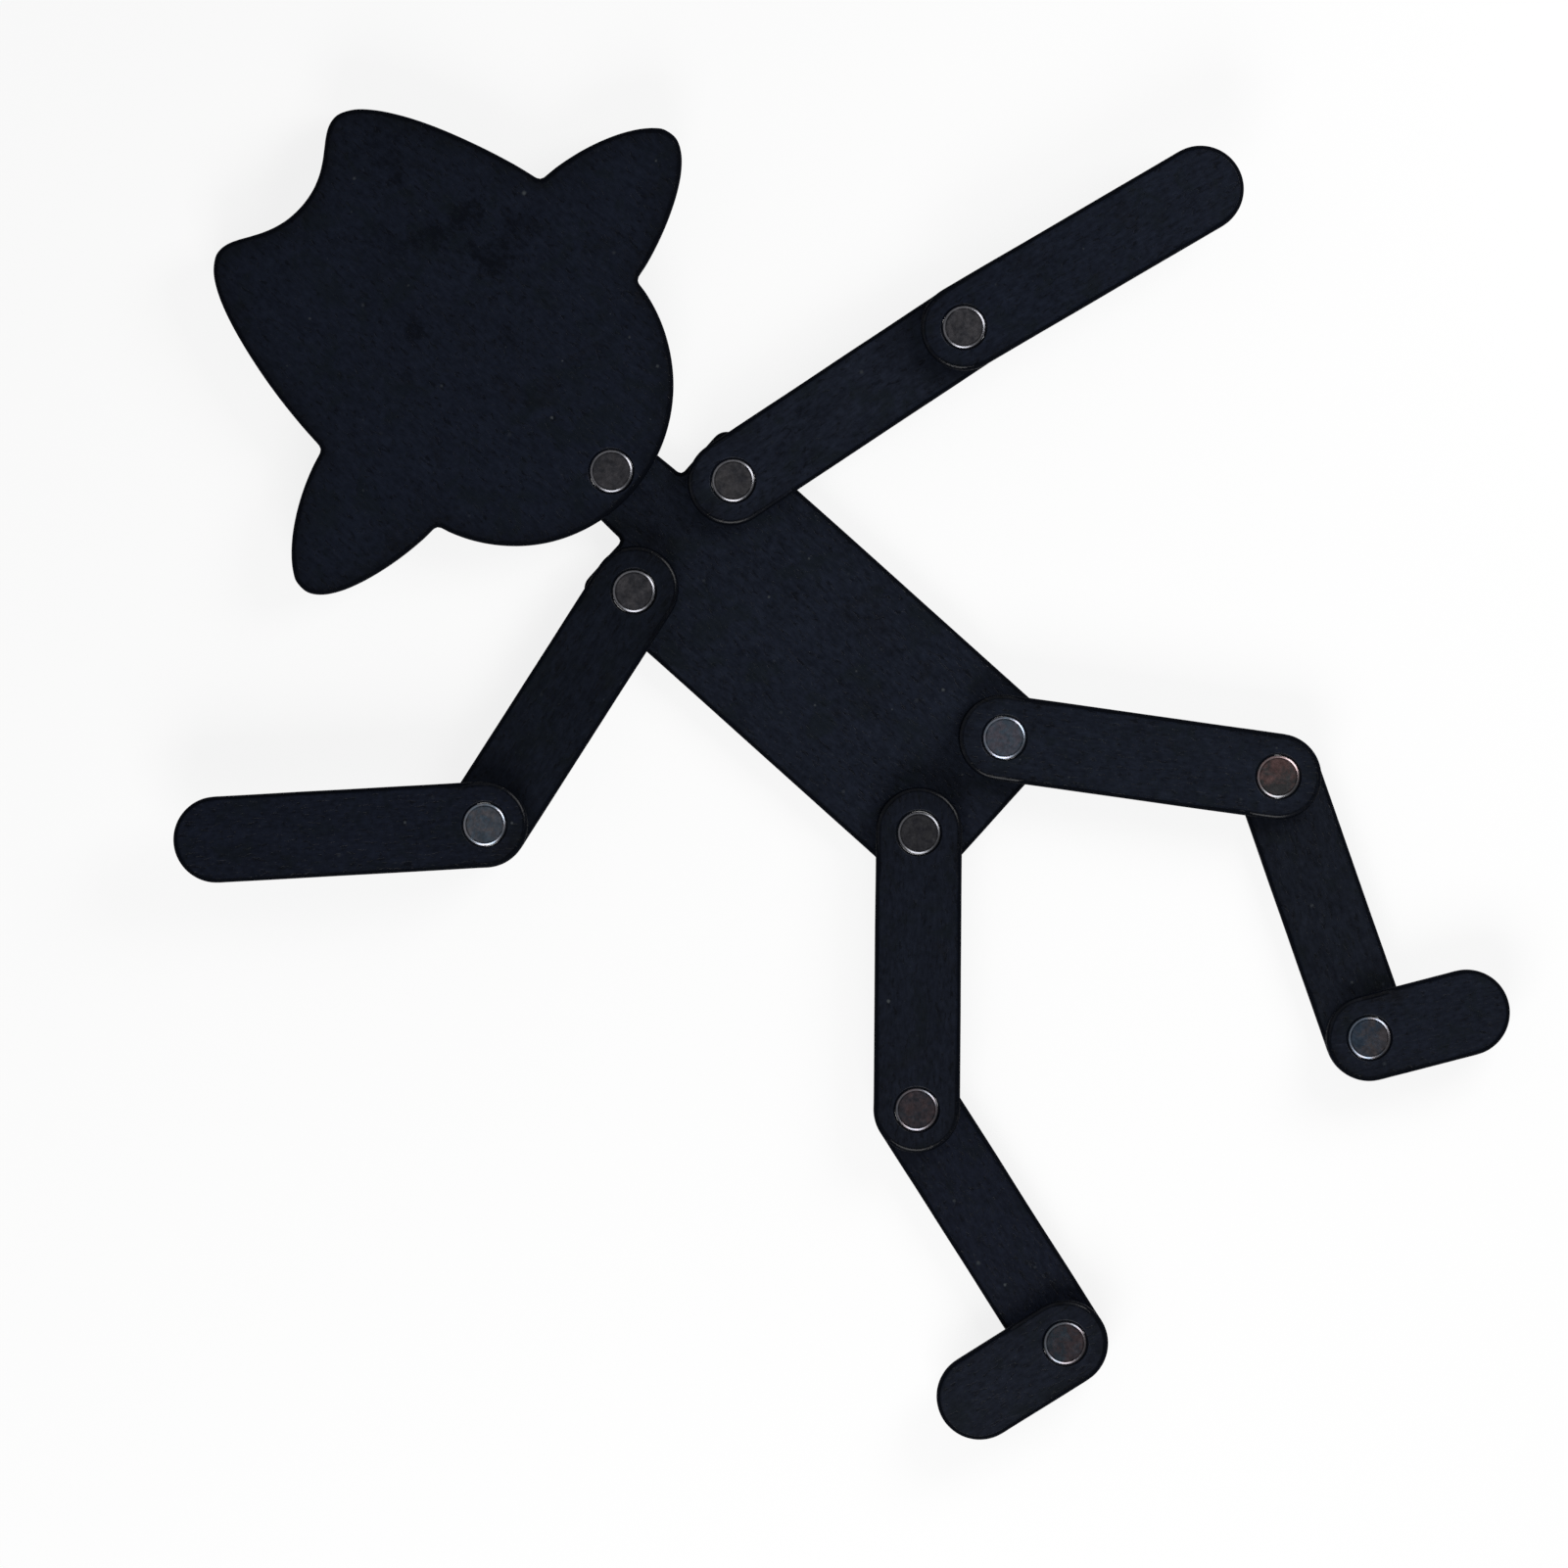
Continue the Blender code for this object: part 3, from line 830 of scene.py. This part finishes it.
def shapeDisc(node, number):
    look = discLook
    low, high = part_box(node)
    thick = high.z - low.z
    radius = (high.x - low.x) / 2
    flat = radius - look["rimWide"]
    reaches = (flat * look["innerRing"], flat - look["bevelEase"], flat)
    half = [(reach, thick / 2) for reach in reaches]  # profile of the upper half, from the face outward
    stride = (look["rimWide"] - look["sideRound"]) / len(look["bevelTurns"])
    for turn in look["bevelTurns"]:
        reach, rise = half[-1]
        half.append((reach + stride, rise - stride * tan(radians(turn))))
    half.append((radius, half[-1][1] - look["sideRound"]))
    half.append((radius, half[-1][1] - look["sideRound"]))
    profile = half + [(reach, -rise) for reach, rise in reversed(half)]
    angles = [2 * pi * k / look["sides"] for k in range(look["sides"])]
    mesh = bmesh.new()
    rings = []
    for reach, rise in profile:
        places = [Vector((reach * cos(angle), reach * sin(angle))) for angle in angles]
        rings.append(addRing(mesh, places, [rise] * len(places)))
    bridge(mesh, rings)
    for ring, rise in ((rings[0], thick / 2), (rings[-1], -thick / 2)):
        middle = mesh.verts.new((0, 0, rise))
        for k in range(len(ring)):
            mesh.faces.new((ring[k - 1], ring[k], middle))

    piece = newPiece(node.replace("_magnet", "_disc"), mesh)
    byDisc, byAxis = look["tiltPace"]
    start, depth = look["tiltStart"]
    seeds = [Vector((number * byDisc + start, axis * byAxis, depth)) for axis in (0, 1)]
    lean = [noise.noise(seed) * look["tilt"] for seed in seeds]
    piece.location = (low + high) / 2
    piece.rotation_euler = Euler((lean[0], lean[1], number * look["spin"]))
    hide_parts(node)
    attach(piece, bodyOf[node])
    return piece


# Handled nickel: clouded plating, with painted reflection in the tints of some discs, a brighter worn rim, a
# patchy darker band inside the bevel and stain over the edge

nickelLook = {
    "shift": (13.0, 29.0),           # mm from one disc's part of the pattern to the next one's
    "shiftUp": 7.0,
    "cloud": (0.70, 5.0, 0.66, 0.5),
    "cloudEdge": (0.39, 0.61),
    "warmPull": 0.05,                # how much a millimetre towards the side with the painted warm reflection adds
    "fine": (2.4, 3.0, 0.6),         # fine mottling of the plating
    "fineEdge": (0.3, 0.7),
    "fineGain": (0.76, 1.24),
    "rim": (2.58, 2.68),             # mm from the axis, as for grime and stain
    "rimTint": (0.325, 0.335, 0.36, 1.0),
    "rimShare": 0.5,                 # how much of the face's colour the rim keeps
    "grimeStart": (2.37, 2.54),
    "grime": (1.1, 3.0, 0.6),
    "grimeEdge": (0.34, 0.58),
    "grimeShare": (0.1, 0.6),
    "stain": {"Size": 1.3, "Cover": 0.4},
    "stainStart": (2.78, 2.96),
    "stainRough": 0.6,
    "smudge": (0.9, 4.0, 0.6, 0.3),
    "smudgeEdge": (0.35, 0.7),
    "smudgeRough": (0.20, 0.25),
    "rimRough": 0.31,
    "dents": (0.5, 2.0, 0.5),
    "relief": 0.002 * mm,
}
plainTint = ((0.27, 0.275, 0.32), (0.49, 0.475, 0.52))  # cool and warm parts of the plating
paintedReflectionTint = {                                          # discs on which they differ, tinted with the colours they reflected: painted reflection
    "left_thigh_hip_magnet": ((0.45, 0.60, 0.80), (0.66, 0.63, 0.78)),
    "right_forearm_elbow_magnet": ((0.46, 0.62, 0.82), (0.68, 0.66, 0.74)),
    "left_thigh_knee_magnet": ((0.36, 0.36, 0.38), (0.76, 0.47, 0.46)),
    "right_thigh_knee_magnet": ((0.24, 0.25, 0.31), (0.44, 0.33, 0.36)),
    "left_foot_ankle_magnet": ((0.27, 0.38, 0.55), (0.46, 0.42, 0.46)),
    "right_foot_ankle_magnet": ((0.22, 0.28, 0.36), (0.36, 0.28, 0.31)),
    "right_thigh_hip_magnet": ((0.21, 0.21, 0.25), (0.34, 0.34, 0.37)),
    "left_upper_arm_shoulder_magnet": ((0.29, 0.295, 0.34), (0.50, 0.485, 0.52)),
}
warmReflectionSide = {  # discs with a painted warm reflection on one side: its direction on the figure, in degrees
    "left_thigh_knee_magnet": 57.0, "left_foot_ankle_magnet": -68.0, "right_foot_ankle_magnet": -58.0,
}


def handledNickel(node, number):
    look = nickelLook
    material, tree, shader, position = newFinish("nickel_" + node.replace("_magnet", ""))
    shift = (*(step * number for step in look["shift"]), look["shiftUp"])
    placed = calcVector(tree, "ADD", position, shift)
    # the listed discs take tints of what they reflected: painted reflection
    cool, warm = paintedReflectionTint.get(node, plainTint)
    cloud = mottle(tree, placed, *look["cloud"])
    # one side painted warmer: painted reflection of a warm surround
    if node in warmReflectionSide:
        angle = radians(warmReflectionSide[node]) - number * discLook["spin"]
        toward = calcVector(tree, "DOT_PRODUCT", position, (cos(angle), sin(angle), 0.0))
        cloud = calc(tree, "MULTIPLY_ADD", toward, look["warmPull"], cloud)
    cloud = remap(tree, cloud, *look["cloudEdge"], smooth=False)
    colour = mixColour(tree, cloud, (*cool, 1.0), (*warm, 1.0))
    fine = mottle(tree, placed, *look["fine"])
    fine = remap(tree, fine, *look["fineEdge"], *look["fineGain"], smooth=False)
    colour = calcVector(tree, "SCALE", colour, scale=fine)

    reach = calcVector(tree, "LENGTH", calcVector(tree, "MULTIPLY", position, (1.0, 1.0, 0.0)))
    rim = remap(tree, reach, *look["rim"])
    colour = mixColour(tree, rim, colour, mixColour(tree, look["rimShare"], look["rimTint"], colour))
    # a patchy darker band just inside the bevel
    grime = remap(tree, mottle(tree, placed, *look["grime"]), *look["grimeEdge"], *look["grimeShare"])
    inside = calc(tree, "MULTIPLY", remap(tree, reach, *look["grimeStart"]), calc(tree, "SUBTRACT", 1.0, rim))
    colour = mixColour(tree, calc(tree, "MULTIPLY", inside, grime), colour, sideLook["round"])
    stain = useGroup(tree, stainPatches, Position=position, Shift=shift, **look["stain"])["Mask"]
    stain = calc(tree, "MULTIPLY", stain, remap(tree, reach, *look["stainStart"]))
    colour = mixColour(tree, stain, colour, woodLook["deep"])
    feed(tree, shader.inputs["Base Color"], colour)
    feed(tree, shader.inputs["Metallic"], calc(tree, "SUBTRACT", 1.0, stain))

    rough = remap(tree, mottle(tree, placed, *look["smudge"]), *look["smudgeEdge"], *look["smudgeRough"])
    rough = calc(tree, "MAXIMUM", rough, calc(tree, "MULTIPLY", rim, look["rimRough"]))
    rough = calc(tree, "MAXIMUM", rough, calc(tree, "MULTIPLY", stain, look["stainRough"]))
    feed(tree, shader.inputs["Roughness"], rough)
    addRelief(tree, shader, mottle(tree, placed, *look["dents"]), look["relief"])
    return material


for number, node in enumerate(discs):
    piece = shapeDisc(node, number)
    piece.data.materials.append(handledNickel(node, number))
print("discs:", len(discs))


# Camera straight above the figure, turned as in the photograph

cameraLook = {
    "photoSide": 1601,              # pixels
    "pixel": 12.0 * mm / 88,        # a 12 mm strip is 88 pixels wide
    "originPixel": (839.9, 674.7),  # the frame's origin in the photograph
    "turn": radians(48.12),         # the figure's left, anticlockwise from the picture's right
    "height": 3.0,
    "sharpLevel": 6.0 * mm,         # the level at which the scale holds
    "sensor": 36.0,
}


def placeCamera():
    look = cameraLook
    data = bpy.data.cameras.new("camera")
    camera = bpy.data.objects.new("camera", data)
    bpy.context.scene.collection.objects.link(camera)
    middle = look["photoSide"] / 2
    across = (middle - look["originPixel"][0]) * look["pixel"]
    up = (look["originPixel"][1] - middle) * look["pixel"]
    ground = Matrix.Rotation(-look["turn"], 2) @ Vector((across, up))
    camera.location = (ground.x, ground.y, look["height"] + look["sharpLevel"])
    camera.rotation_euler = (0, 0, -look["turn"])
    data.sensor_width = look["sensor"]
    data.lens = look["sensor"] * look["height"] / (look["photoSide"] * look["pixel"])
    bpy.context.scene.camera = camera


# Studio: two soft lamps and a pale tent with a dark opening above the camera

studioLook = {
    "lamps": (  # name, bearing in the picture, rise, distance, width, height, radiance
        ("upperRight", 33.0, 42.0, 0.38, 0.19, 0.21, 3.7),
        ("bottom", 266.0, 42.0, 0.46, 0.28, 0.25, 3.6),
    ),
    "opening": 0.055,              # dark hole in the tent above the camera
    "openingEdge": (0.90, 0.955),  # heights on the sky between which the tent ends
    "tentDim": 0.07,
    "tentBright": 0.23,
    "brightBearing": 140.0,
    "brightEdge": (0.0, 0.35),
    "horizon": 0.9,
    "horizonEdge": (0.12, 0.03),
    "floorSide": 16.0,
    "floorDrop": 0.1 * mm,
    "floorColour": (0.25, 0.25, 0.25, 1.0),
    "floorGlow": 0.84,
}


def pictureWay(bearing):  # a direction in the picture, as a direction over the floor
    angle = radians(bearing) - cameraLook["turn"]
    return Vector((cos(angle), sin(angle), 0))


def addLamp(name, bearing, rise, distance, width, height, radiance):
    data = bpy.data.lights.new(name, "AREA")
    data.shape = "RECTANGLE"
    data.size = width
    data.size_y = height
    data.energy = radiance * pi * width * height
    lamp = bpy.data.objects.new(name, data)
    bpy.context.scene.collection.objects.link(lamp)
    way = pictureWay(bearing) * cos(radians(rise)) + Vector((0, 0, sin(radians(rise))))
    lamp.location = way * distance
    lamp.visible_camera = False
    lamp.rotation_euler = way.to_track_quat("Z", "Y").to_euler()


def paintWorld():
    look = studioLook
    world = bpy.data.worlds.new("room")
    bpy.context.scene.world = world
    world.use_nodes = True
    tree = world.node_tree
    way = addNode(tree, "ShaderNodeTexCoord").outputs["Generated"]
    rise = splitVector(tree, way)["Z"]
    toBright = calcVector(tree, "DOT_PRODUCT", way, tuple(pictureWay(look["brightBearing"])))
    tent = remap(tree, toBright, *look["brightEdge"], look["tentDim"], look["tentBright"])
    low = remap(tree, rise, *look["horizonEdge"])
    tent = calc(tree, "MULTIPLY_ADD", low, calc(tree, "SUBTRACT", look["horizon"], tent), tent)
    hole = remap(tree, rise, *look["openingEdge"])
    sky = calc(tree, "MULTIPLY_ADD", hole, calc(tree, "SUBTRACT", look["opening"], tent), tent)
    glow = tree.nodes["Background"].inputs
    glow["Color"].default_value = (1.0, 1.0, 1.0, 1.0)
    feed(tree, glow["Strength"], sky)


def layFloor():
    half = studioLook["floorSide"] / 2
    mesh = bmesh.new()
    bmesh.ops.create_grid(mesh, x_segments=1, y_segments=1, size=half)
    data = bpy.data.meshes.new("floor")
    mesh.to_mesh(data)
    mesh.free()
    floor = bpy.data.objects.new("floor", data)
    bpy.context.scene.collection.objects.link(floor)
    floor.location.z = -studioLook["floorDrop"]
    material = bpy.data.materials.new("paleFloor")
    material.use_nodes = True
    tree = material.node_tree
    tree.nodes.remove(tree.nodes["Principled BSDF"])
    paper = addNode(tree, "ShaderNodeBsdfDiffuse")
    paper.inputs["Color"].default_value = studioLook["floorColour"]
    path = addNode(tree, "ShaderNodeLightPath").outputs
    seen = calc(tree, "MAXIMUM", path["Is Camera Ray"], path["Is Glossy Ray"])
    seen = calc(tree, "MAXIMUM", seen, path["Is Transmission Ray"])
    glow = addNode(tree, "ShaderNodeEmission")
    feed(tree, glow.inputs["Strength"], calc(tree, "MULTIPLY", seen, studioLook["floorGlow"]))
    both = addNode(tree, "ShaderNodeAddShader")
    feed(tree, both.inputs[0], paper.outputs["BSDF"])
    feed(tree, both.inputs[1], glow.outputs["Emission"])
    feed(tree, tree.nodes["Material Output"].inputs["Surface"], both.outputs["Shader"])
    data.materials.append(material)


placeCamera()
for lamp in studioLook["lamps"]:
    addLamp(*lamp)
paintWorld()
layFloor()
bpy.context.scene.view_settings.view_transform = "Standard"
print("studio ready")
